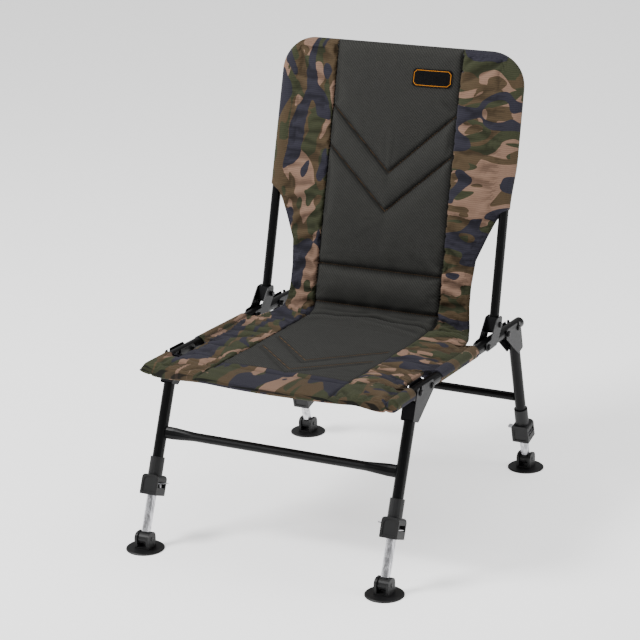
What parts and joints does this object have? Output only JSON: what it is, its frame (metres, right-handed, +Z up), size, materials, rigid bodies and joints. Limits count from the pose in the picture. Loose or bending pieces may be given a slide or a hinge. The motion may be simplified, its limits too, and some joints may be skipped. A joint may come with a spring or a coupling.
{
  "type": "folding chair",
  "caption": "Low folding fishing chair with a reclined padded fabric back and seat on tube rails, and splayed telescopic legs with swivelling mud feet.",
  "frame": {"origin": "on the floor, midway between the four feet", "axes": "+X to the sitter's left hand seen from the front, the right in a front view; +Y to the rear; +Z up"},
  "size_m": [0.585, 0.7626, 0.883],
  "materials": {
    "black_tube": "satin black powder coat",
    "black_plate": "satin black coated pressed steel",
    "black_plastic": "matt moulded black",
    "zinc": "bright zinc plated",
    "camouflage_cloth": "ribbed woven camouflage cloth with a dark grey-green padded middle panel",
    "label": "plain sewn patch"
  },
  "bodies": {
    "seat_frame": {"rail_right": "black_tube", "rail_plug_right": "black_plastic", "back_pivot_bolt_right": "black_plate", "leg_pivot_bolt_front_right": "black_plate", "leg_stop_bolt_front_right": "black_plate", "leg_pivot_bolt_rear_right": "black_plate", "leg_stop_bolt_rear_right": "black_plate", "rail_left": "black_tube", "rail_plug_left": "black_plastic", "back_pivot_bolt_left": "black_plate", "leg_pivot_bolt_front_left": "black_plate", "leg_stop_bolt_front_left": "black_plate", "leg_pivot_bolt_rear_left": "black_plate", "leg_stop_bolt_rear_left": "black_plate", "seat_cover": "camouflage_cloth"},
    "front_legs": {"crossbar_front": "black_tube", "outer_leg_front_right": "black_tube", "leg_bracket_front_right": "black_plate", "lock_housing_front_right": "black_plastic", "outer_leg_front_left": "black_tube", "leg_bracket_front_left": "black_plate", "lock_housing_front_left": "black_plastic"},
    "rear_legs": {"crossbar_rear": "black_tube", "outer_leg_rear_right": "black_tube", "leg_bracket_rear_right": "black_plate", "lock_housing_rear_right": "black_plastic", "outer_leg_rear_left": "black_tube", "leg_bracket_rear_left": "black_plate", "lock_housing_rear_left": "black_plastic"},
    "backrest": {"back_tube": "black_tube", "back_bracket_right": "black_plate", "back_bracket_left": "black_plate", "back_bolt_right": "black_plate", "back_bolt_left": "black_plate", "back_cover": "camouflage_cloth", "back_label": "label"},
    "inner_front_right": {"inner_leg_front_right": "zinc", "knuckle_front_right": "black_plastic", "foot_pin_front_right": "black_plate"},
    "foot_front_right_body": {"foot_front_right": "black_plastic"},
    "lock_front_right": {"lock_plate_front_right": "zinc"},
    "inner_front_left": {"inner_leg_front_left": "zinc", "knuckle_front_left": "black_plastic", "foot_pin_front_left": "black_plate"},
    "foot_front_left_body": {"foot_front_left": "black_plastic"},
    "lock_front_left": {"lock_plate_front_left": "zinc"},
    "inner_rear_right": {"inner_leg_rear_right": "zinc", "knuckle_rear_right": "black_plastic", "foot_pin_rear_right": "black_plate"},
    "foot_rear_right_body": {"foot_rear_right": "black_plastic"},
    "lock_rear_right": {"lock_plate_rear_right": "zinc"},
    "inner_rear_left": {"inner_leg_rear_left": "zinc", "knuckle_rear_left": "black_plastic", "foot_pin_rear_left": "black_plate"},
    "foot_rear_left_body": {"foot_rear_left": "black_plastic"},
    "lock_rear_left": {"lock_plate_rear_left": "zinc"}
  },
  "joints": [
    {"name": "front_legs_fold", "type": "hinge", "parent": "seat_frame", "child": "front_legs", "pos_m": [0, -0.15754, 0.34876], "axis": [1, 0, 0], "range_deg": [0, 105]},
    {"name": "rear_legs_fold", "type": "hinge", "parent": "seat_frame", "child": "rear_legs", "pos_m": [0, 0.21306, 0.33468], "axis": [-1, 0, 0], "range_deg": [0, 63]},
    {"name": "backrest_fold", "type": "hinge", "parent": "seat_frame", "child": "backrest", "pos_m": [0, 0.11246, 0.3385], "axis": [1, 0, 0], "range_deg": [0, 102]},
    {"name": "leg_length_front_right", "type": "slide", "parent": "front_legs", "child": "inner_front_right", "axis": [0, 0.3795, 0.9252], "range_m": [-0.075, 0.069]},
    {"name": "foot_tilt_front_right", "type": "hinge", "parent": "inner_front_right", "child": "foot_front_right_body", "pos_m": [0.255, -0.34376, 0.021], "axis": [-1, 0, 0], "range_deg": [-12.7, 57.3]},
    {"name": "lock_tilt_front_right", "type": "hinge", "parent": "front_legs", "child": "lock_front_right", "pos_m": [0.2716, -0.30511, 0.11523], "axis": [0, -0.9252, 0.3795], "range_deg": [0, 11], "stiffness_Nm_per_rad": 0.3, "springref_deg": -34.38},
    {"name": "leg_length_front_left", "type": "slide", "parent": "front_legs", "child": "inner_front_left", "axis": [0, 0.3795, 0.9252], "range_m": [-0.075, 0.069]},
    {"name": "foot_tilt_front_left", "type": "hinge", "parent": "inner_front_left", "child": "foot_front_left_body", "pos_m": [-0.255, -0.34376, 0.021], "axis": [-1, 0, 0], "range_deg": [-12.7, 57.3]},
    {"name": "lock_tilt_front_left", "type": "hinge", "parent": "front_legs", "child": "lock_front_left", "pos_m": [-0.2716, -0.30511, 0.11523], "axis": [0, 0.9252, -0.3795], "range_deg": [0, 11], "stiffness_Nm_per_rad": 0.3, "springref_deg": -34.38},
    {"name": "leg_length_rear_right", "type": "slide", "parent": "rear_legs", "child": "inner_rear_right", "axis": [0, -0.2477, 0.9688], "range_m": [-0.11, 0.034]},
    {"name": "foot_tilt_rear_right", "type": "hinge", "parent": "inner_rear_right", "child": "foot_rear_right_body", "pos_m": [0.255, 0.34376, 0.021], "axis": [1, 0, 0], "range_deg": [-20.66, 49.34]},
    {"name": "lock_tilt_rear_right", "type": "hinge", "parent": "rear_legs", "child": "lock_rear_right", "pos_m": [0.2716, 0.3271, 0.08617], "axis": [0, -0.9688, -0.2477], "range_deg": [0, 11], "stiffness_Nm_per_rad": 0.3, "springref_deg": -34.38},
    {"name": "leg_length_rear_left", "type": "slide", "parent": "rear_legs", "child": "inner_rear_left", "axis": [0, -0.2477, 0.9688], "range_m": [-0.11, 0.034]},
    {"name": "foot_tilt_rear_left", "type": "hinge", "parent": "inner_rear_left", "child": "foot_rear_left_body", "pos_m": [-0.255, 0.34376, 0.021], "axis": [1, 0, 0], "range_deg": [-20.66, 49.34]},
    {"name": "lock_tilt_rear_left", "type": "hinge", "parent": "rear_legs", "child": "lock_rear_left", "pos_m": [-0.2716, 0.3271, 0.08617], "axis": [0, 0.9688, 0.2477], "range_deg": [0, 11], "stiffness_Nm_per_rad": 0.3, "springref_deg": -34.38}
  ]
}
